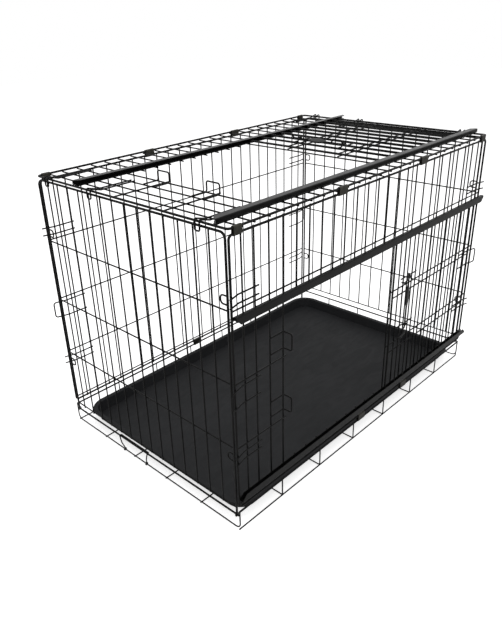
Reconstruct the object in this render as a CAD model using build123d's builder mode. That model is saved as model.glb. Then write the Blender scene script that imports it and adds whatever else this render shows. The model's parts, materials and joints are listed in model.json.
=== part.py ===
from build123d import *
import os
from math import acos, cos, degrees, pi, radians, sin, tan

os.makedirs("parts", exist_ok=True)

# Folding wire pet crate with two sliding doors and a pull-out tray.
# Millimetres, +Z up. The origin is on the floor at the centre of the crate.
# X runs along the crate (the tray leaves at -X), the side door is on the -Y side.

# Overall size
length = 914.4
width = 573.0
height = 633.0

# Wire stock
wire_r = 1.4
frame_r = 2.0
wire_sides = 6
running = 0.4

# Rounding of the bent wires
floor_bend = 3.0
cross_bend = 2.6
floor_end_bend = 12.0
rim_bend = 5.0
long_bend = 8.0
end_bend = 11.0
top_bend = 7.0
door_bend = 9.0
keeper_bend = 4.5
latch_bend = 3.2
guide_bend = 2.2
hairpin_bend = 6.0
loop_bend = 6.5
top_hook_bend = 3.4
stop_bend = 2.2

# Wire spacing
pitch = 37.66
end_pitch = 37.6
first_wire = 31.0
second_wire = 62.0
end_bars = 14
floor_bays_x = 7
floor_bays_y = 5
floor_edge = 1.7
right_rim_out = 1.5
overshoot = 1.5
stub = 6.0

# Heights of the long wires
long_rows = [202.0, 343.0, 488.0]
sill_z = 69.0
long_bottom_z = 60.0
long_top_z = 622.5
rim_z = 48.0
left_rim_z = 37.0
end_bottom_rise = 19.0
end_top_z = 626.0

# Doors and their channels
left_bars = 4
jamb_bar = 12
door_left_x = 513.0
door_width = 372.0
door_travel = 372.0
door_bars = 9
side_door_low = 81.0
side_door_high = 475.0
top_door_low = 33.0
top_door_high = 434.0
side_rows = [188.0, 331.0]
top_rows = [160.0, 304.5]
channel_flange = 15.5
channel_sheet = 1.0
channel_start = 1.0
channel_overhang = 8.0
channel_lip_cut = 10.0
head_room = 2.0
seat_gap = 0.3

# Keepers and latches
keeper_reach = 20.0
keeper_x = 135.0
keeper_foot = 96.0
side_keepers = [(363.0, 398.0), (224.0, 258.0)]
top_keepers = [(297.0, 332.0), (154.0, 189.0)]
latch_r = 1.7
spindle_reach = 16.0
spindle_x = 562.0
side_arms = [242.0, 381.0]
top_arms = [171.0, 314.0]
latch_bar_x = spindle_x - door_travel - keeper_x
latch_open = 14.0
latch_straight = 14.0
latch_ramp = 26.0
hook_play = 2.0
hook_turn_in = 8.0
guide_inset = 8.0
guide_left = 28.0
guide_right = 40.0
guide_foot = 7.5
guide_bow = 4.0
grip_tall = 58.0
grip_wide = 21.0
grip_thick = 5.4
grip_at = 324.0
grip_edge = 0.8

# Corner hooks
prong_rows = [(169.5, 186.0), (498.5, 515.0)]
hairpin_row = (295.5, 333.0)
prong_poke = 9.0
hairpin_poke = 12.0
loop_reach = 17.0
foot_past_bar = 3.0
hook_knee = 18.0
knee_gap = 0.3

# Top hooks
top_hook_y = [-221.5, 86.5, 240.5]
top_hook_wide = 12.0
top_hook_drop = 14.0
top_hook_rise = 0.3

# Hinge clips
clip_wide = 26.0
clip_sheet = 1.2
clip_sides = 8
corner_clip_wide = 19.0
corner_clip_x = 19.3
top_clip_bays = [7, 15]
base_clip_bays = [10, 15]

# Tray
tray_inset_side = 10.5
tray_inset_left = 15.0
tray_inset_right = 8.0
tray_tall = 28.6
tray_wall = 2.5
tray_corner = 42.0
tray_rim = 9.0
tray_edge = 4.0
tray_draft = 12.0
tray_lift = 0.3

# Tray stop
stop_from_back = 234.0
stop_wide = 104.0
stop_eyes = 81.0
stop_r = 1.2
stop_over_rim = 1.4

# Half of each wire from corner to corner of its section; the radii are to the flats
corner_share = 1 / cos(pi / wire_sides)
wire_out = wire_r * corner_share
frame_out = frame_r * corner_share

# Derived planes
half_l = length / 2
half_w = width / 2
bar_step = frame_r + wire_r
row_step = 2 * wire_r
bar_y = half_w - bar_step
row_y = bar_y + row_step
end_post_y = bar_y - wire_r - frame_out - 2 * running
top_bar_z = height - bar_step
top_row_z = top_bar_z + row_step


def along(x):
    """X of a place measured from the left end of the crate."""
    return x - half_l


def section(place, face, heading, radius):
    """The plane and six-sided section of a wire whose flats look along face."""
    with BuildSketch(Plane(origin=place, x_dir=face, z_dir=heading)) as cut:
        RegularPolygon(radius, wire_sides, major_radius=False, rotation=180 / wire_sides)
    return cut.sketch


def wire(start, end, face, radius=wire_r):
    """One straight length of wire with two of its flats looking along face."""
    start, end, face = Vector(*start), Vector(*end), Vector(*face)
    run = end - start
    heading = run.normalized()
    flat = face - heading * face.dot(heading)
    with BuildPart() as piece:
        add(section(start, flat, heading, radius))
        extrude(amount=run.length, dir=heading)
    return piece.part


def bend(here, corner, there, bend_radius, face, radius):
    """The rounded corner of a bent wire, the points where it begins and ends, and its last face."""
    before = (here - corner).normalized()
    after = (there - corner).normalized()
    turn = pi - acos(max(-1.0, min(1.0, before.dot(after))))
    reach = bend_radius * tan(turn / 2)
    first = corner + before * reach
    last = corner + after * reach
    axis = after.cross(before).normalized()
    centre = corner + (before + after).normalized() * (bend_radius / cos(turn / 2))
    middle = centre + (corner - centre).normalized() * bend_radius
    flat = face - before * face.dot(before)
    sections = []
    for place, heading, share in [(first, before * -1, 0), (middle, after - before, 0.5), (last, after, 1)]:
        turned_flat = flat.rotate(Axis((0, 0, 0), axis), degrees(turn) * share)
        sections.append(section(place, turned_flat, heading, radius))
    with BuildPart() as piece:
        loft(sections=sections, ruled=True)
    return piece.part, first, last, turned_flat


def bent_wire(points, bend_radius, face, radius=wire_r):
    """A wire formed through the given points, in straight runs and rounded corners."""
    points = [Vector(*point) for point in points]
    face = Vector(*face)
    pieces = []
    here = points[0]
    for index in range(1, len(points) - 1):
        corner, first, last, next_face = bend(here, points[index], points[index + 1], bend_radius, face, radius)
        if (first - here).length > 0.01:
            pieces.append(wire(here, first, face, radius))
        pieces.append(corner)
        here = last
        face = next_face
    if (points[-1] - here).length > 0.01:
        pieces.append(wire(here, points[-1], face, radius))
    return pieces


def eye(centre, axis, inside, radius):
    """A closed eye round another wire, as thick as its own wire."""
    with BuildPart() as piece:
        with BuildSketch(Plane(origin=centre, z_dir=axis).offset(-radius)):
            outside = inside + 2 * radius
            RegularPolygon(outside, 2 * wire_sides, major_radius=False, rotation=90 / wire_sides)
            Circle(inside, mode=Mode.SUBTRACT)
        extrude(amount=2 * radius)
    return piece.part


# The ways that flats look in each panel
along_x = (1, 0, 0)
along_y = (0, 1, 0)
along_z = (0, 0, 1)


def save(name, pieces):
    """Write one named piece of the crate."""
    solids = [solid for piece in pieces for solid in piece.solids()]
    export_step(Compound(label=name, children=solids), f"parts/{name}.step")


# Base grid
floor_x_z = wire_r
floor_y_z = floor_x_z + row_step
floor_edge_y = half_w - floor_edge
right_leg_x = half_l + right_rim_out
leg_top = rim_z - frame_r
base = []
for bay in range(floor_bays_y + 1):
    y = (2 * bay / floor_bays_y - 1) * floor_edge_y
    floor_path = [(-half_l - wire_r, y, floor_x_z), (right_leg_x, y, floor_x_z), (right_leg_x, y, leg_top)]
    base += bent_wire(floor_path, floor_bend, along_z)
for bay in range(floor_bays_x + 1):
    x = along(bay * length / floor_bays_x)
    if bay == floor_bays_x:
        x = right_leg_x - 2 * wire_out
    cross_path = [
        (x, -half_w, leg_top),
        (x, -half_w, floor_y_z),
        (x, half_w, floor_y_z),
        (x, half_w, leg_top),
    ]
    at_end = bay in (0, floor_bays_x)
    base += bent_wire(cross_path, floor_end_bend if at_end else cross_bend, along_y)
rim_path = [
    (-half_l - wire_r, -half_w, rim_z),
    (right_leg_x, -half_w, rim_z),
    (right_leg_x, half_w, rim_z),
    (-half_l - wire_r, half_w, rim_z),
]
base += bent_wire(rim_path, rim_bend, along_z, frame_r)
left_rim_y = half_w - wire_r
left_rim = [(-half_l, -left_rim_y, left_rim_z), (-half_l, left_rim_y, left_rim_z)]
base.append(wire(*left_rim, along_z, frame_r))
save("base_grid", base)

# Wire places along the long panels, from the left end
pitch_bars = [second_wire + pitch * k for k in range(22)]
all_bars = [first_wire] + pitch_bars + [length - first_wire]
left_bars_x = all_bars[: left_bars]
right_bars_x = [x for x in all_bars if x >= pitch_bars[jamb_bar] - 1]
strip_bars_x = [x for x in all_bars if left_bars_x[-1] + 1 < x < right_bars_x[0] - 1]


def long_frame(side):
    """The closed outer wire of a long panel; side is -1 at the front and 1 at the back."""
    y = side * half_w
    ends = [-half_l, half_l]
    corners = [
        (0, y, long_bottom_z),
        (ends[0], y, long_bottom_z),
        (ends[0], y, long_top_z),
        (ends[1], y, long_top_z),
        (ends[1], y, long_bottom_z),
        (0, y, long_bottom_z),
    ]
    return bent_wire(corners, long_bend, along_y, frame_r)


def upright(x, side, low, high):
    """A vertical wire of a long panel."""
    return wire((along(x), side * bar_y, low), (along(x), side * bar_y, high), along_y)


def row(x_from, x_to, z, side):
    """A long horizontal wire of a long panel."""
    return wire((along(x_from), side * row_y, z), (along(x_to), side * row_y, z), along_y)


# Long panels
bar_low = long_bottom_z - overshoot
bar_high = long_top_z + overshoot
post_gap = frame_out
row_ends = (post_gap, length - post_gap)
back = long_frame(1)
for x in all_bars:
    back.append(upright(x, 1, bar_low, bar_high))
for z in long_rows + [sill_z]:
    back.append(row(*row_ends, z, 1))
save("back_panel", back)

door_sill = side_door_low + frame_r
door_head = side_door_high - frame_r
front = long_frame(-1)
for x in left_bars_x + right_bars_x:
    front.append(upright(x, -1, bar_low, bar_high))
for x in strip_bars_x:
    front.append(upright(x, -1, door_head - stub, bar_high))
    front.append(upright(x, -1, bar_low, door_sill + stub))
for z in (door_sill, door_head):
    jamb_wire = [(along(post_gap), -half_w, z), (along(length - post_gap), -half_w, z)]
    front.append(wire(*jamb_wire, along_y, frame_r))
front.append(row(*row_ends, long_rows[2], -1))
front.append(row(*row_ends, sill_z, -1))
for z in long_rows[:2]:
    front.append(row(row_ends[0], left_bars_x[-1] + stub, z, -1))
    front.append(row(right_bars_x[0] - overshoot, row_ends[1], z, -1))
save("front_panel", front)

# End panels
end_bars_y = [end_pitch * (k - (end_bars - 1) / 2) for k in range(end_bars)]
end_bar_x = half_l + bar_step
end_row_x = end_bar_x - row_step
hinge_inside = frame_r + running
foot_rise = hinge_inside + 2 * wire_r


def end_panel(side, hinge_z):
    """A folding end; side is -1 at the left and 1 at the right."""
    x = side * half_l
    foot_z = hinge_z + foot_rise
    frame = [
        (x, -end_post_y, foot_z),
        (x, -end_post_y, end_top_z),
        (x, end_post_y, end_top_z),
        (x, end_post_y, foot_z),
    ]
    pieces = bent_wire(frame, end_bend, along_x, frame_r)
    bottom = hinge_z + end_bottom_rise
    row_to = end_post_y - frame_out
    for y in end_bars_y:
        start = (side * end_bar_x, y, bottom - overshoot)
        pieces.append(wire(start, (side * end_bar_x, y, end_top_z + overshoot), along_x))
    for z in long_rows + [bottom]:
        pieces.append(wire((side * end_row_x, -row_to, z), (side * end_row_x, row_to, z), along_x))
    return pieces


def end_eyes(side, hinge_z):
    """The eyes at the foot of an end panel, which turn on the base rim."""
    x = side * half_l
    rim_x = x if side < 0 else right_leg_x
    places = [(rim_x, y, hinge_z) for y in (-end_post_y, end_post_y)]
    return [eye(place, along_y, hinge_inside, wire_r) for place in places]


save("left_end_panel", end_panel(-1, left_rim_z))
save("left_end_eyes", end_eyes(-1, left_rim_z))
save("right_end_panel", end_panel(1, rim_z))
save("right_end_eyes", end_eyes(1, rim_z))

# Door assemblies: x from the left end, s across the panel, n outwards from its frame wire
def on_side(x, s, n):
    """A place on the side door's panel."""
    return (along(x), -half_w - n, s)


def on_top(x, s, n):
    """A place on the top door's panel; s is measured from the front edge."""
    return (along(x), s - half_w, height + n)


bar_n = -bar_step
row_n = bar_n + row_step
channel_back = frame_r
door_n = channel_back + channel_sheet + running + frame_r
door_bar_n = door_n + bar_step
channel_depth = door_bar_n + wire_r + running + channel_sheet - channel_back

# Top panel
top = bent_wire(
    [
        (0, -half_w, height),
        (-half_l, -half_w, height),
        (-half_l, half_w, height),
        (half_l, half_w, height),
        (half_l, -half_w, height),
        (0, -half_w, height),
    ],
    top_bend,
    along_z,
    frame_r,
)
support_front = top_door_low + frame_r
support_back = top_door_high - frame_r
for x in left_bars_x + right_bars_x:
    top.append(wire(on_top(x, -overshoot, bar_n), on_top(x, width + overshoot, bar_n), along_z))
for x in strip_bars_x:
    top.append(wire(on_top(x, -overshoot, bar_n), on_top(x, support_front + stub, bar_n), along_z))
    top.append(wire(on_top(x, support_back - stub, bar_n), on_top(x, width + overshoot, bar_n), along_z))
for s in (support_front, support_back):
    top.append(wire(on_top(post_gap, s, 0), on_top(length - post_gap, s, 0), along_z, frame_r))
for s in top_rows:
    top.append(wire(on_top(post_gap, s, row_n), on_top(left_bars_x[-1] + stub, s, row_n), along_z))
    right_start = right_bars_x[0] - overshoot
    top.append(wire(on_top(right_start, s, row_n), on_top(length - post_gap, s, row_n), along_z))
save("top_panel", top)


def door(place, face, low, high, rows):
    """A sliding door: a rounded frame with bars outside it and two cross wires."""
    right_x = door_left_x + door_width
    middle = door_left_x + door_width / 2
    pieces = bent_wire(
        [
            place(middle, low, door_n),
            place(door_left_x, low, door_n),
            place(door_left_x, high, door_n),
            place(right_x, high, door_n),
            place(right_x, low, door_n),
            place(middle, low, door_n),
        ],
        door_bend,
        face,
        frame_r,
    )
    for k in range(1, door_bars + 1):
        x = door_left_x + k * door_width / (door_bars + 1)
        pieces.append(wire(place(x, low - 1, door_bar_n), place(x, high + 1, door_bar_n), face))
    cross_n = door_bar_n - row_step
    for s in rows:
        start = place(door_left_x + post_gap, s, cross_n)
        pieces.append(wire(start, place(right_x - post_gap, s, cross_n), face))
    return pieces


save("side_door", door(on_side, along_y, side_door_low, side_door_high, side_rows))
save("top_door", door(on_top, along_z, top_door_low, top_door_high, top_rows))


# Door channels, folded from sheet
def channel():
    """A sheet channel along X, opening towards -Y, with its back at z = 0 and web at y = 0."""
    run = length + channel_overhang - channel_start
    with BuildPart() as piece:
        with BuildSketch(Plane.YZ):
            with Locations((-channel_flange / 2, channel_depth / 2)):
                Rectangle(channel_flange, channel_depth)
            fillet(vertices().group_by(Axis.X)[-1], 2 * channel_sheet)
            slot_deep = channel_flange - channel_sheet
            slot_wide = channel_depth - 2 * channel_sheet
            with Locations((-channel_sheet - slot_deep / 2, channel_depth / 2)):
                Rectangle(slot_deep, slot_wide, mode=Mode.SUBTRACT)
        extrude(amount=run)
        lip_ends = piece.edges().filter_by(Axis.Z).group_by(Axis.Y)[0]
        chamfer(lip_ends, channel_lip_cut)
    return piece.part


rail = channel()
start_x = along(channel_start)
side_back_y = -half_w - channel_back
head_z = side_door_high + frame_out + head_room + channel_sheet
sill_web_z = side_door_low - frame_out - seat_gap - channel_sheet
middle_plane = Plane((start_x, side_back_y, head_z), x_dir=(1, 0, 0), z_dir=(0, -1, 0))
bottom_plane = Plane((start_x, side_back_y, sill_web_z), x_dir=(1, 0, 0), z_dir=(0, -1, 0))
save("side_channel_middle", [middle_plane.location * rail])
save("side_channel_bottom", [bottom_plane.location * mirror(rail, about=Plane.XZ)])
top_back_z = height + channel_back
front_web_y = top_door_low - half_w - frame_out - head_room - channel_sheet
back_web_y = top_door_high - half_w + frame_out + head_room + channel_sheet
save("top_channel_front", [Pos(start_x, front_web_y, top_back_z) * mirror(rail, about=Plane.XZ)])
save("top_channel_back", [Pos(start_x, back_web_y, top_back_z) * rail])


# Keepers: fixed hoops that the latch hooks close round
def keepers(place, face, pairs):
    """Two hoops whose feet run along the panel from one bar to the next."""
    pieces = []
    for low, high in pairs:
        pieces += bent_wire(
            [
                place(keeper_foot, low, row_n),
                place(keeper_x, low, row_n),
                place(keeper_x, low, keeper_reach),
                place(keeper_x, high, keeper_reach),
                place(keeper_x, high, row_n),
                place(keeper_foot, high, row_n),
            ],
            keeper_bend,
            face,
        )
    return pieces


save("side_keepers", keepers(on_side, along_y, side_keepers))
save("top_keepers", keepers(on_top, along_z, top_keepers))


# Latches: one bent rod each, turning in two guides on the door
def turned(place, reach_x, s, reach_n):
    """A place on the latch, given from its spindle in the closed state and shown open."""
    a = radians(latch_open)
    x = reach_x * cos(a) + reach_n * sin(a)
    n = -reach_x * sin(a) + reach_n * cos(a)
    return place(spindle_x + x, s, spindle_reach + n)


def latch(place, face, arms):
    """Spindle with a hooked arm at each end."""
    over = keeper_reach - spindle_reach + wire_r + running + latch_r
    nose = latch_bar_x + wire_r + latch_r + hook_play
    hook = [(0, 0), (-latch_straight, 0), (-latch_ramp, over), (-nose, over), (-nose, over - hook_turn_in)]
    path = [turned(place, x, arms[0], n) for x, n in reversed(hook)]
    path += [turned(place, x, arms[1], n) for x, n in hook]
    return bent_wire(path, latch_bend, face, latch_r)


def guides(place, face, arms):
    """Two short wires across the door's bars that bow out round the spindle."""
    pieces = []
    n = door_bar_n + row_step
    bow_n = spindle_reach + latch_r + running + wire_r
    for s in (arms[0] + guide_inset, arms[1] - guide_inset):
        path = [(-guide_left, n), (-guide_foot, n), (-guide_bow, bow_n)]
        path += [(guide_bow, bow_n), (guide_foot, n), (guide_right, n)]
        pieces += bent_wire([place(spindle_x + x, s, out) for x, out in path], guide_bend, face)
    return pieces


save("side_latch", latch(on_side, along_z, side_arms))
save("top_latch", latch(on_top, along_y, top_arms))
save("side_latch_guides", guides(on_side, along_y, side_arms))
save("top_latch_guides", guides(on_top, along_z, top_arms))


def grip():
    """A leaf-shaped finger grip, standing on XZ with its bore along Z."""
    half = grip_tall / 2
    with BuildPart() as piece:
        with BuildSketch(Plane.XZ.offset(-grip_thick / 2)):
            with BuildLine():
                ThreePointArc((0, half), (grip_wide / 2, 0), (0, -half))
                ThreePointArc((0, -half), (-grip_wide / 2, 0), (0, half))
            make_face()
        extrude(amount=grip_thick)
        chamfer(piece.faces().filter_by(Axis.Y).edges(), grip_edge)
        Cylinder(latch_r * corner_share, grip_tall, mode=Mode.SUBTRACT)
    return piece.part


leaf = grip()
side_grip_place = Location(on_side(spindle_x, grip_at, spindle_reach)) * Rotation(0, 0, latch_open)
save("side_latch_grip", [side_grip_place * leaf])
top_grip_s = (top_arms[0] + top_arms[1]) / 2 + grip_at - (side_arms[0] + side_arms[1]) / 2
top_turn = Plane(on_top(spindle_x, top_grip_s, spindle_reach), x_dir=(1, 0, 0), z_dir=(0, 1, 0))
save("top_latch_grip", [top_turn.location * Rotation(0, 0, -latch_open) * leaf])


# Hinge clips: folded sheet round two parallel frame wires
def clip(spread, wide):
    """A clip along X; its lower wire is at the origin."""
    with BuildSketch() as inside:
        with Locations((0, 0), (0, spread)):
            RegularPolygon(frame_out, clip_sides, major_radius=False, rotation=180 / clip_sides)
        make_hull()
    with BuildPart() as piece:
        with BuildSketch(Plane.YZ.offset(-wide / 2)):
            with Locations((0, 0), (0, spread)):
                outside = frame_out + clip_sheet
                RegularPolygon(outside, clip_sides, major_radius=False, rotation=180 / clip_sides)
            make_hull()
            add(inside.sketch, mode=Mode.SUBTRACT)
        extrude(amount=wide)
    return piece.part


top_clip = clip(height - long_top_z, clip_wide)
base_clip = clip(long_bottom_z - rim_z, clip_wide)
corner_clip = clip(height - long_top_z, corner_clip_wide)


def bay_centre(bay):
    """The middle of the gap between two neighbouring bars."""
    return along((all_bars[bay] + all_bars[bay + 1]) / 2)


for name, side in (("front", -1), ("back", 1)):
    placed = [Pos(bay_centre(bay), side * half_w, long_top_z) * top_clip for bay in top_clip_bays]
    for x in (corner_clip_x, length - corner_clip_x):
        placed.append(Pos(along(x), side * half_w, long_top_z) * corner_clip)
    save(f"{name}_top_clips", placed)
    placed = [Pos(bay_centre(bay), side * half_w, rim_z) * base_clip for bay in base_clip_bays]
    save(f"{name}_base_clips", placed)


# Corner hooks on the long panels
def corner_hooks(side):
    """Two pairs of prongs and a hairpin at each end of a long panel."""
    inner = side * row_y
    outer = side * (half_w + bar_step)
    pieces = []
    for end in (-1, 1):
        def at(x, y, z):
            return (end * (half_l - x), y, z)

        foot = pitch_bars[1] + foot_past_bar
        start = hook_knee - knee_gap
        slope = (outer - inner) / (start - frame_out)
        tip = outer + slope * (prong_poke + frame_out)
        bow = outer + slope * (hairpin_poke + frame_out)
        low, high = hairpin_row
        for z in (*prong_rows[0], low, high, *prong_rows[1]):
            pieces.append(wire(at(foot, inner, z), at(hook_knee, inner, z), along_y))
        for z in (*prong_rows[0], *prong_rows[1]):
            pieces.append(wire(at(start, inner, z), at(-prong_poke, tip, z), along_y))
        path = [at(start, inner, low), at(-hairpin_poke, bow, low)]
        path += [at(-hairpin_poke, bow, high), at(start, inner, high)]
        pieces += bent_wire(path, hairpin_bend, along_y)
    return pieces


save("front_corner_hooks", corner_hooks(-1))
save("back_corner_hooks", corner_hooks(1))


# Loops on the posts of the end panels, level with the prongs
def end_loops(side):
    """Four loops lying in the end panel's plane."""
    x = side * half_l
    pieces = []
    for y_side in (-1, 1):
        near = y_side * (end_post_y - frame_out)
        far = y_side * (end_post_y - loop_reach)
        for low, high in prong_rows:
            path = [(x, near, low), (x, far, low), (x, far, high), (x, near, high)]
            pieces += bent_wire(path, loop_bend, along_x)
    return pieces


save("left_end_loops", end_loops(-1))
save("right_end_loops", end_loops(1))


# Top hooks: hairpins on the top panel that turn down over the ends
def top_hooks(side):
    """Three hairpins over one end."""
    drop_x = end_bar_x - half_l + wire_r + running + wire_r
    top_slope = (bar_step + top_hook_rise - row_n) / (hook_knee - knee_gap - frame_out)
    pieces = []
    for y in top_hook_y:
        path = []
        for edge in (-1, 1):
            at_y = y + edge * top_hook_wide / 2
            foot = (side * (half_l - pitch_bars[1] - foot_past_bar), at_y, height + row_n)
            knee = (side * (half_l - hook_knee), at_y, height + row_n)
            pieces.append(wire(foot, knee, along_z))
            crest_n = bar_step + top_hook_rise + (drop_x + frame_out) * top_slope
            arm = [(hook_knee - knee_gap, row_n), (-drop_x, crest_n)]
            arm = [(side * (half_l - x), at_y, height + n) for x, n in arm]
            arm.append((side * (half_l + drop_x), at_y, height - top_hook_drop))
            path += arm if edge < 0 else arm[::-1]
        pieces += bent_wire(path, top_hook_bend, along_z)
    return pieces


save("left_top_hooks", top_hooks(-1))
save("right_top_hooks", top_hooks(1))

# Tray: a drafted pan with a turned-out rim
tray_low = floor_y_z + wire_r + tray_lift
tray_x0 = -half_l + tray_inset_left
tray_x1 = half_l - tray_inset_right
tray_long = tray_x1 - tray_x0
tray_across = width - 2 * tray_inset_side
tray_mid = (tray_x0 + tray_x1) / 2
pan_long = tray_long - 2 * tray_rim
pan_across = tray_across - 2 * tray_rim
with BuildPart() as tray:
    rim_plane = Plane((tray_mid, 0, tray_low + tray_tall))
    with BuildSketch(rim_plane):
        RectangleRounded(pan_long, pan_across, tray_corner)
    extrude(amount=-tray_tall, taper=tray_draft)
    chamfer(tray.faces().sort_by(Axis.Z)[0].edges(), tray_edge)
    with BuildSketch(rim_plane):
        RectangleRounded(tray_long, tray_across, tray_corner + tray_rim)
    extrude(amount=-tray_wall)
    with BuildSketch(rim_plane):
        inner_corner = tray_corner - tray_wall
        RectangleRounded(pan_long - 2 * tray_wall, pan_across - 2 * tray_wall, inner_corner)
    extrude(amount=-(tray_tall - tray_wall), taper=tray_draft, mode=Mode.SUBTRACT)
save("tray", [tray.part])

# Tray stop: a bail that turns on the left floor wire and hooks over the rim
stop_y = half_w - stop_from_back
stop_eye = wire_r + running
eye_top = floor_y_z + stop_eye + 2 * stop_r
over_rim = left_rim_z + frame_r + running + stop_r
leg_x = -half_l - frame_r - running - stop_r
stop = []
path = []
for edge in (-1, 1):
    foot_y = stop_y + edge * stop_eyes / 2
    wide_y = stop_y + edge * stop_wide / 2
    stop.append(eye((-half_l, foot_y, floor_y_z), along_y, stop_eye, stop_r))
    leg = [
        (-half_l, foot_y, eye_top),
        (leg_x, (foot_y + wide_y) / 2, (eye_top + left_rim_z) / 2),
        (leg_x, wide_y, over_rim),
        (-half_l + stop_over_rim, wide_y, over_rim),
    ]
    path += leg if edge < 0 else leg[::-1]
stop += bent_wire(path, stop_bend, along_x, stop_r)
save("tray_stop", stop)
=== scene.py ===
import json
from math import acos, ceil, cos, pi, radians, sin, sqrt

import bpy
from mathutils import Matrix, Quaternion, Vector


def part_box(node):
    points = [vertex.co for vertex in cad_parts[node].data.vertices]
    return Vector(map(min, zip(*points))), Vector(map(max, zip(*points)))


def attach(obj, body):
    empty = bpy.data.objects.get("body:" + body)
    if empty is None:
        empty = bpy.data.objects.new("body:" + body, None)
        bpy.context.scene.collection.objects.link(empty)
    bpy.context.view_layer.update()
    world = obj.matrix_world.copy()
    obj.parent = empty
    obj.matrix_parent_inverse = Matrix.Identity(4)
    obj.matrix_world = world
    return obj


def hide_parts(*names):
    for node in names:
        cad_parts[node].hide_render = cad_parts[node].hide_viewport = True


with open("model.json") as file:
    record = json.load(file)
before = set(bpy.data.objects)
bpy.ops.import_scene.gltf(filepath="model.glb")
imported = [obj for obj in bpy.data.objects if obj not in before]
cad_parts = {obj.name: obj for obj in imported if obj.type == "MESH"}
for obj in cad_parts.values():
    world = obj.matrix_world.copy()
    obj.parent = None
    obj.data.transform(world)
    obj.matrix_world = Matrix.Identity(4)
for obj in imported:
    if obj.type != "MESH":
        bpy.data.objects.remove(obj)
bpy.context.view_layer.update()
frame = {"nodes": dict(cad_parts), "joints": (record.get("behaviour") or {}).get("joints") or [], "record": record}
nodes = frame["nodes"]
bodies = frame["record"]["behaviour"]["bodies"]
joints = {joint["name"]: joint for joint in frame["joints"]}
body_of_node = {node: body for body, members in bodies.items() for node in members}
slot_of_node = {part["node"]: part["material_slot"] for part in frame["record"]["subparts"]}

# Reading the solids' wires, whose sections have six sides; lengths in metres
cad_sides = 6
largest_cap = 0.004
cap_unevenness = 0.02
join_reach = 0.0007
radius_match = 1e-5
facing_away = -0.9
least_turn = 0.01

# Round wires: how much thicker than the solids, and how finely they are drawn
thicken = 1 / cos(pi / cad_sides)
floor_thicken = 1.05
sides = 12
arc_step = radians(10)
least_arc_steps = 3
end_round = 0.45
end_narrow = 0.7

# Eyes, in metres: bore and wire radius of each node that has them
eye_turns = 28
eye_bore = {"left_end_eyes": 0.0024, "right_end_eyes": 0.0024, "tray_stop": 0.0018}
eye_wire = {"left_end_eyes": 0.0014, "right_end_eyes": 0.0014, "tray_stop": 0.0012}

# Corner hooks, in metres: half the crate's length, and how far in from its end a foot reaches
half_length = 0.4572
hook_foot = 0.070

# Finger grips, in metres
grip_half_long = 0.029
grip_half_wide = 0.0105
grip_half_thick = 0.0027
grip_least_wide = 0.0011
grip_rows = 36
grip_around = 24

# Finger grips, as shares: the thin and narrow tips, and the hollow in each face
grip_squareness = 3.2
tip_thick = 0.55
last_row_wide = 0.7
last_row_thick = 0.75
hollow_deep = 0.16
hollow_wide = 0.75
hollow_long = 0.7

# Photograph's frame in pixels, and the camera in metres with its sensor in millimetres
image_wide = 502
image_high = 642
focal_px = 630.148
centre_px = (231.657, 314.535)
sensor = 36.0
camera_place = (-1.1205, -0.9566, 0.9517)
camera_right = (0.697039, -0.716073, -0.03709)
camera_up = (0.341662, 0.286213, 0.895181)
camera_back = (-0.6304, -0.636648, 0.444157)


# Material helpers
def new_material(name):
    """A node material with its Principled shader and node tree."""
    material = bpy.data.materials.new(name)
    material.use_nodes = True
    tree = material.node_tree
    return material, tree, tree.nodes["Principled BSDF"]


def noise(tree, scale, detail=3.0, stretch=(1, 1, 1), distortion=0.0):
    """Noise in the object's own metres."""
    place = tree.nodes.new("ShaderNodeTexCoord")
    mapping = tree.nodes.new("ShaderNodeMapping")
    mapping.inputs["Scale"].default_value = stretch
    texture = tree.nodes.new("ShaderNodeTexNoise")
    texture.inputs["Scale"].default_value = scale
    texture.inputs["Detail"].default_value = detail
    texture.inputs["Distortion"].default_value = distortion
    tree.links.new(place.outputs["Object"], mapping.inputs["Vector"])
    tree.links.new(mapping.outputs["Vector"], texture.inputs["Vector"])
    return texture.outputs["Fac"]


def ramp(tree, factor, low, high, colours):
    """A steady change from the first colour to the second as the factor runs from low to high."""
    node = tree.nodes.new("ShaderNodeValToRGB")
    node.color_ramp.elements[0].position = low
    node.color_ramp.elements[1].position = high
    node.color_ramp.elements[0].color = (*colours[0], 1)
    node.color_ramp.elements[1].color = (*colours[1], 1)
    tree.links.new(factor, node.inputs["Fac"])
    return node.outputs["Color"]


def bump(tree, shader, heights, distance):
    """Adds one or more height fields to the shader's normal; heights are (field, strength)."""
    last = None
    for field, strength in heights:
        node = tree.nodes.new("ShaderNodeBump")
        node.inputs["Strength"].default_value = strength
        node.inputs["Distance"].default_value = distance
        tree.links.new(field, node.inputs["Height"])
        if last is not None:
            tree.links.new(last, node.inputs["Normal"])
        last = node.outputs["Normal"]
    tree.links.new(last, shader.inputs["Normal"])


def greys(values):
    """Each value as a grey colour."""
    return [(value, value, value) for value in values]


def coating(name, dark, pale, rough, orange_peel, specular):
    """Black coating: slight colour drift, uneven gloss and the ripple of a dried film."""
    material, tree, shader = new_material(name)
    drift = noise(tree, scale=26.0, detail=4.0)
    tree.links.new(ramp(tree, drift, 0.35, 0.68, (dark, pale)), shader.inputs["Base Color"])
    gloss = noise(tree, scale=60.0, detail=5.0)
    tree.links.new(ramp(tree, gloss, 0.3, 0.7, greys(rough)), shader.inputs["Roughness"])
    shader.inputs["Specular IOR Level"].default_value = specular
    fine = noise(tree, scale=700.0, detail=2.0)
    coarse = noise(tree, scale=160.0, detail=2.0)
    bump(tree, shader, [(fine, orange_peel), (coarse, orange_peel)], distance=0.0002)
    return material


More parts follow.
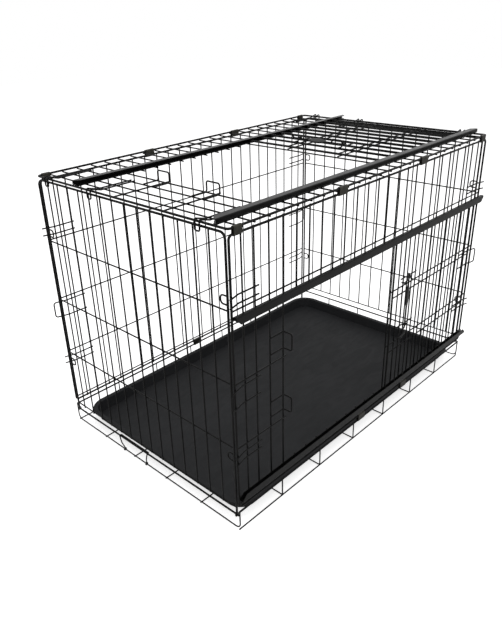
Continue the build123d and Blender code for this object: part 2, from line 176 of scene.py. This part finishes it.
def plastic(name, dark, pale, rough, grain, specular):
    """Moulded black plastic: fine grain, faint flow marks and light scuffs."""
    material, tree, shader = new_material(name)
    flow = noise(tree, scale=5.0, detail=3.0, stretch=(1.0, 2.2, 1.0), distortion=0.6)
    tree.links.new(ramp(tree, flow, 0.3, 0.72, (dark, pale)), shader.inputs["Base Color"])
    scuff = noise(tree, scale=14.0, detail=6.0, stretch=(1.0, 3.0, 1.0), distortion=1.2)
    tree.links.new(ramp(tree, scuff, 0.35, 0.66, greys(rough)), shader.inputs["Roughness"])
    shader.inputs["Specular IOR Level"].default_value = specular
    cells = tree.nodes.new("ShaderNodeTexVoronoi")
    cells.inputs["Scale"].default_value = grain
    place = tree.nodes.new("ShaderNodeTexCoord")
    tree.links.new(place.outputs["Object"], cells.inputs["Vector"])
    broad = noise(tree, scale=grain * 0.6, detail=4.0)
    bump(tree, shader, [(cells.outputs["Distance"], 0.35), (broad, 0.25)], distance=0.0002)
    return material


def clip_steel(name):
    """Dark plated strip with an uneven, slightly warm film."""
    material, tree, shader = new_material(name)
    film = noise(tree, scale=90.0, detail=4.0)
    colours = ((0.012, 0.0115, 0.009), (0.036, 0.034, 0.026))
    tree.links.new(ramp(tree, film, 0.3, 0.7, colours), shader.inputs["Base Color"])
    brushed = noise(tree, scale=120.0, detail=3.0, stretch=(0.15, 3.0, 3.0))
    tree.links.new(ramp(tree, brushed, 0.3, 0.7, greys((0.32, 0.5))), shader.inputs["Roughness"])
    shader.inputs["Metallic"].default_value = 0.25
    shader.inputs["Specular IOR Level"].default_value = 0.2
    bump(tree, shader, [(brushed, 0.2)], distance=0.0001)
    return material


materials = {
    "coated_wire": coating(
        "coated_wire_look", (0.002, 0.002, 0.002), (0.005, 0.005, 0.005), (0.36, 0.52), 0.12, 0.1
    ),
    "coated_sheet": coating(
        "coated_sheet_look", (0.002, 0.002, 0.002), (0.004, 0.004, 0.004), (0.24, 0.36), 0.16, 0.13
    ),
    "clip_sheet": clip_steel("clip_sheet_look"),
    "grip_plastic": plastic(
        "grip_plastic_look", (0.004, 0.004, 0.004), (0.008, 0.008, 0.008), (0.4, 0.55), 1400.0, 0.15
    ),
    "tray_plastic": plastic(
        "tray_plastic_look", (0.0125, 0.013, 0.014), (0.0165, 0.017, 0.0182), (0.5, 0.62), 700.0, 0.09
    ),
}


# Mesh helpers
def new_object(name, vertices, faces, material):
    """A smooth-shaded mesh object."""
    mesh = bpy.data.meshes.new(name)
    mesh.from_pydata([tuple(v) for v in vertices], [], faces)
    mesh.update()
    mesh.polygons.foreach_set("use_smooth", [True] * len(mesh.polygons))
    mesh.materials.append(material)
    piece = bpy.data.objects.new(name, mesh)
    bpy.context.collection.objects.link(piece)
    return piece


def stand_for(piece, node):
    """The piece takes the place of a CAD node on its body, and the node is hidden."""
    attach(piece, body_of_node[node])
    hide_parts(node)


def islands(mesh):
    """The faces of the CAD solids, in order, each as a list of its polygons."""
    parent = list(range(len(mesh.vertices)))

    def root(a):
        while parent[a] != a:
            parent[a] = parent[parent[a]]
            a = parent[a]
        return a

    for polygon in mesh.polygons:
        first = root(polygon.vertices[0])
        for vertex in polygon.vertices[1:]:
            parent[root(vertex)] = first
    groups = {}
    for polygon in mesh.polygons:
        groups.setdefault(root(polygon.vertices[0]), []).append(polygon)
    return sorted(groups.values(), key=lambda group: group[0].index)


def wire_segments(mesh):
    """Each straight or bent solid as its two caps: centre, outward direction and wire radius."""
    caps = []
    for group in islands(mesh):
        corners = {vertex for polygon in group for vertex in polygon.vertices}
        if len(group) != cad_sides - 2 or len(corners) != cad_sides:
            continue
        points = [mesh.vertices[vertex].co for vertex in corners]
        centre = sum(points, Vector()) / cad_sides
        reach = [(point - centre).length for point in points]
        uneven = max(reach) - min(reach) > cap_unevenness * max(reach)
        if uneven or max(reach) > largest_cap:
            continue
        caps.append((centre, group[0].normal.copy(), max(reach) * cos(pi / cad_sides)))
    return [(caps[k], caps[k + 1]) for k in range(0, len(caps) - 1, 2)]


def chains(segments):
    """Whole wires, each a list of (segment, flipped) that meet end to end, and if it is closed."""
    ends = [(k, end) for k in range(len(segments)) for end in (0, 1)]
    partner = {}
    for a in range(len(ends)):
        if ends[a] in partner:
            continue
        point, normal, radius = segments[ends[a][0]][ends[a][1]]
        for b in range(a + 1, len(ends)):
            if ends[b] in partner or ends[b][0] == ends[a][0]:
                continue
            other, other_normal, other_radius = segments[ends[b][0]][ends[b][1]]
            near = (point - other).length < join_reach
            alike = abs(radius - other_radius) < radius_match
            if near and alike and normal.dot(other_normal) < facing_away:
                partner[ends[a]] = ends[b]
                partner[ends[b]] = ends[a]
                break
    used = set()
    wires = []
    starts = [end for end in ends if end not in partner] + ends
    for start in starts:
        if start[0] in used:
            continue
        chain = []
        here = start
        while here is not None and here[0] not in used:
            used.add(here[0])
            chain.append((segments[here[0]], here[1] == 1))
            here = partner.get((here[0], 1 - here[1]))
        wires.append((chain, here is not None and here == start))
    return wires


def chain_path(chain):
    """Points and directions along a wire, with its bends as true arcs."""
    points = []
    for segment, flipped in chain:
        first, last = (segment[1], segment[0]) if flipped else segment
        into = first[1] * -1
        out = last[1]
        turn = acos(max(-1.0, min(1.0, into.dot(out))))
        if turn < least_turn:
            steps = [(first[0], into), (last[0], out)]
        else:
            axis = into.cross(out).normalized()
            bend_r = (last[0] - first[0]).length / (2 * sin(turn / 2))
            inward = axis.cross(into)
            count = max(least_arc_steps, ceil(turn / arc_step))
            steps = []
            for k in range(count + 1):
                angle = turn * k / count
                forward = into * (bend_r * sin(angle))
                aside = inward * (bend_r * (1 - cos(angle)))
                steps.append((first[0] + forward + aside, Quaternion(axis, angle) @ into))
        for place, heading in steps:
            if not points or (place - points[-1][0]).length > join_reach:
                points.append((place, heading))
    return points


def tube(points, radius, closed, vertices, faces):
    """Adds a round tube along the points, with its cut ends slightly rounded."""
    rings = []
    if not closed:
        start, heading = points[0]
        end, last_heading = points[-1]
        soft = radius * end_round
        room = (points[1][0] - start).length
        if room > soft * 2:
            points = [(start, heading), (start + heading * soft, heading)] + points[1:-1]
            points += [(end - last_heading * soft, last_heading), (end, last_heading)]
    side = points[0][1].orthogonal().normalized()
    last_heading = points[0][1]
    for k, (place, heading) in enumerate(points):
        side = last_heading.rotation_difference(heading) @ side
        side = (side - heading * side.dot(heading)).normalized()
        last_heading = heading
        across = heading.cross(side)
        ring_r = radius
        if not closed and k in (0, len(points) - 1):
            ring_r = radius * (1 - end_round * end_narrow)
        ring = []
        for j in range(sides):
            angle = 2 * pi * j / sides
            ring.append(len(vertices))
            vertices.append(place + (side * cos(angle) + across * sin(angle)) * ring_r)
        rings.append(ring)
    pairs = list(zip(rings, rings[1:]))
    if closed:
        pairs.append((rings[-1], rings[0]))
    for low, high in pairs:
        for j in range(sides):
            k = (j + 1) % sides
            faces.append((low[j], low[k], high[k], high[j]))
    if not closed:
        faces.append(tuple(reversed(rings[0])))
        faces.append(tuple(rings[-1]))


def ring(centre, axis, major, minor, vertices, faces):
    """Adds a closed round eye."""
    axis = Vector(axis)
    side = axis.orthogonal().normalized()
    first = len(vertices)
    for k in range(eye_turns):
        out = Quaternion(axis, 2 * pi * k / eye_turns) @ side
        for j in range(sides):
            angle = 2 * pi * j / sides
            vertices.append(centre + out * (major + minor * cos(angle)) + axis * (minor * sin(angle)))
    for k in range(eye_turns):
        for j in range(sides):
            a = first + k * sides + j
            b = first + k * sides + (j + 1) % sides
            c = first + ((k + 1) % eye_turns) * sides + (j + 1) % sides
            d = first + ((k + 1) % eye_turns) * sides + j
            faces.append((a, d, c, b))


def shortened(points):
    """Cuts a corner hook's feet between the second and the third upright from the crate's end."""
    foot_x = half_length - hook_foot
    for k in (0, len(points) - 1):
        place, heading = points[k]
        if abs(place.x) < foot_x:
            points[k] = (Vector((foot_x if place.x > 0 else -foot_x, place.y, place.z)), heading)
    return points


# Wires: every node bent from wire is drawn again as round wire along the same path
wire_nodes = [node for node, slot in slot_of_node.items() if slot == "coated_wire"]
for node in wire_nodes:
    vertices = []
    faces = []
    free_ends = []
    for chain, closed in chains(wire_segments(nodes[node].data)):
        points = chain_path(chain)
        if "corner_hooks" in node:
            points = shortened(points)
        radius = chain[0][0][0][2] * (floor_thicken if node == "base_grid" else thicken)
        tube(points, radius, closed, vertices, faces)
        if not closed:
            free_ends += [points[0][0], points[-1][0]]
    if node in eye_bore:
        major = eye_bore[node] + eye_wire[node]
        if node == "tray_stop":
            centres = [end - Vector((0, 0, major + eye_wire[node])) for end in free_ends]
        else:
            low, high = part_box(node)
            middle = (Vector(low) + Vector(high)) / 2
            rim = eye_wire[node]
            centres = [Vector((middle.x, y, middle.z)) for y in (low[1] + rim, high[1] - rim)]
        for centre in centres:
            ring(centre, (0, 1, 0), major, eye_wire[node], vertices, faces)
    piece = new_object(f"{node}_round", vertices, faces, materials["coated_wire"])
    stand_for(piece, node)


# Finger grips
def leaf(node, joint):
    """A leaf-shaped grip on the latch's spindle, with rounded edges and slightly hollow faces."""
    axis = Vector(joints[joint]["axis"])
    low, high = (Vector(corner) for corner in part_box(node))
    centre = (low + high) / 2
    mesh = nodes[node].data
    area = {}
    for polygon in mesh.polygons:
        key = tuple(round(value, 2) for value in polygon.normal)
        area[key] = area.get(key, 0.0) + polygon.area
    thick_way = Vector(max(area, key=area.get)).normalized()
    wide_way = axis.cross(thick_way).normalized()
    arc_r = (grip_half_long**2 + grip_half_wide**2) / (2 * grip_half_wide)
    power = 2 / grip_squareness
    vertices = []
    faces = []
    for k in range(grip_rows + 1):
        t = -cos(pi * k / grip_rows)
        z = grip_half_long * t
        wide = max(sqrt(max(arc_r**2 - z**2, 0)) - (arc_r - grip_half_wide), grip_least_wide)
        thick = grip_half_thick * (tip_thick + (1 - tip_thick) * sqrt(max(1 - t * t, 0)))
        if k in (0, grip_rows):
            wide *= last_row_wide
            thick *= last_row_thick
        for j in range(grip_around):
            angle = 2 * pi * j / grip_around
            c, s = cos(angle), sin(angle)
            x = wide * abs(c) ** power * (1 if c > 0 else -1)
            y = thick * abs(s) ** power * (1 if s > 0 else -1)
            across = max(0.0, 1 - (x / (hollow_wide * wide)) ** 2)
            hollow = hollow_deep * across * max(0.0, 1 - (t / hollow_long) ** 2)
            vertices.append(centre + wide_way * x + thick_way * (y * (1 - hollow)) + axis * z)
    for k in range(grip_rows):
        for j in range(grip_around):
            a = k * grip_around + j
            b = k * grip_around + (j + 1) % grip_around
            faces.append((a, b, b + grip_around, a + grip_around))
    faces.append(tuple(reversed(range(grip_around))))
    faces.append(tuple(range(grip_rows * grip_around, (grip_rows + 1) * grip_around)))
    piece = new_object(f"{node}_leaf", vertices, faces, materials["grip_plastic"])
    stand_for(piece, node)


leaf("side_latch_grip", "side_latch_turn")
leaf("top_latch_grip", "top_latch_turn")

# Nodes kept as they are, with their new materials
for node, slot in slot_of_node.items():
    if slot in ("coated_wire", "grip_plastic"):
        continue
    piece = nodes[node]
    piece.data.materials.clear()
    piece.data.materials.append(materials[slot])

# Floor, background and light: strengths, and lengths in metres
floor_grey = 0.8
floor_glow = 0.64
fill_strength = 0.5
backdrop_strength = 1.0
floor_half = 8.0
floor_z = -0.0004

stage_material, stage_tree, stage_shader = new_material("stage_white")
stage_tree.nodes.remove(stage_shader)
paper = stage_tree.nodes.new("ShaderNodeBsdfDiffuse")
paper.inputs["Color"].default_value = (floor_grey, floor_grey, floor_grey, 1)
glow = stage_tree.nodes.new("ShaderNodeEmission")
glow.inputs["Strength"].default_value = floor_glow
both = stage_tree.nodes.new("ShaderNodeAddShader")
seen = stage_tree.nodes.new("ShaderNodeMixShader")
light_path = stage_tree.nodes.new("ShaderNodeLightPath")
stage_tree.links.new(paper.outputs["BSDF"], both.inputs[0])
stage_tree.links.new(glow.outputs["Emission"], both.inputs[1])
stage_tree.links.new(light_path.outputs["Is Camera Ray"], seen.inputs["Fac"])
stage_tree.links.new(paper.outputs["BSDF"], seen.inputs[1])
stage_tree.links.new(both.outputs["Shader"], seen.inputs[2])
stage_tree.links.new(seen.outputs["Shader"], stage_tree.nodes["Material Output"].inputs["Surface"])

floor_mesh = bpy.data.meshes.new("floor")
floor_corners = [(-1, -1), (1, -1), (1, 1), (-1, 1)]
floor_places = [(x * floor_half, y * floor_half, floor_z) for x, y in floor_corners]
floor_mesh.from_pydata(floor_places, [], [(0, 1, 2, 3)])
floor_mesh.materials.append(stage_material)
floor = bpy.data.objects.new("floor", floor_mesh)
bpy.context.collection.objects.link(floor)

world = bpy.data.worlds.new("studio")
bpy.context.scene.world = world
world.use_nodes = True
world_tree = world.node_tree
world_tree.nodes.clear()
fill = world_tree.nodes.new("ShaderNodeBackground")
fill.inputs["Color"].default_value = (1, 1, 1, 1)
fill.inputs["Strength"].default_value = fill_strength
backdrop = world_tree.nodes.new("ShaderNodeBackground")
backdrop.inputs["Color"].default_value = (1, 1, 1, 1)
backdrop.inputs["Strength"].default_value = backdrop_strength
rays = world_tree.nodes.new("ShaderNodeLightPath")
glossy = world_tree.nodes.new("ShaderNodeMath")
glossy.operation = "MAXIMUM"
clear = world_tree.nodes.new("ShaderNodeMath")
clear.operation = "MAXIMUM"
choose = world_tree.nodes.new("ShaderNodeMixShader")
world_out = world_tree.nodes.new("ShaderNodeOutputWorld")
world_tree.links.new(rays.outputs["Is Camera Ray"], glossy.inputs[0])
world_tree.links.new(rays.outputs["Is Glossy Ray"], glossy.inputs[1])
world_tree.links.new(glossy.outputs[0], clear.inputs[0])
world_tree.links.new(rays.outputs["Is Transmission Ray"], clear.inputs[1])
world_tree.links.new(clear.outputs[0], choose.inputs["Fac"])
world_tree.links.new(fill.outputs["Background"], choose.inputs[1])
world_tree.links.new(backdrop.outputs["Background"], choose.inputs[2])
world_tree.links.new(choose.outputs["Shader"], world_out.inputs["Surface"])


def softbox(name, place, target, size, power):
    """A square area lamp that looks at a point."""
    lamp = bpy.data.lights.new(name, "AREA")
    lamp.shape = "SQUARE"
    lamp.size = size
    lamp.energy = power
    holder = bpy.data.objects.new(name, lamp)
    holder.location = place
    holder.rotation_euler = (Vector(target) - Vector(place)).to_track_quat("-Z", "Y").to_euler()
    bpy.context.collection.objects.link(holder)


crate_middle = (0.0, 0.0, 0.3)
softbox("key", (-1.6, -2.2, 3.0), crate_middle, size=2.4, power=55)
softbox("top", (0.4, 0.8, 3.4), crate_middle, size=2.8, power=45)

# Camera
camera_data = bpy.data.cameras.new("camera")
camera_data.sensor_width = sensor
camera_data.sensor_fit = "AUTO"
camera_data.lens = focal_px * sensor / image_high
camera_data.shift_x = (image_wide / 2 - centre_px[0]) / image_high
camera_data.shift_y = (centre_px[1] - image_high / 2) / image_high
camera = bpy.data.objects.new("camera", camera_data)
axes = Matrix((camera_right, camera_up, camera_back)).transposed()
camera.matrix_world = Matrix.Translation(camera_place) @ axes.to_4x4()
bpy.context.collection.objects.link(camera)
bpy.context.scene.camera = camera
bpy.context.scene.view_settings.view_transform = "Standard"

bpy.context.view_layer.update()
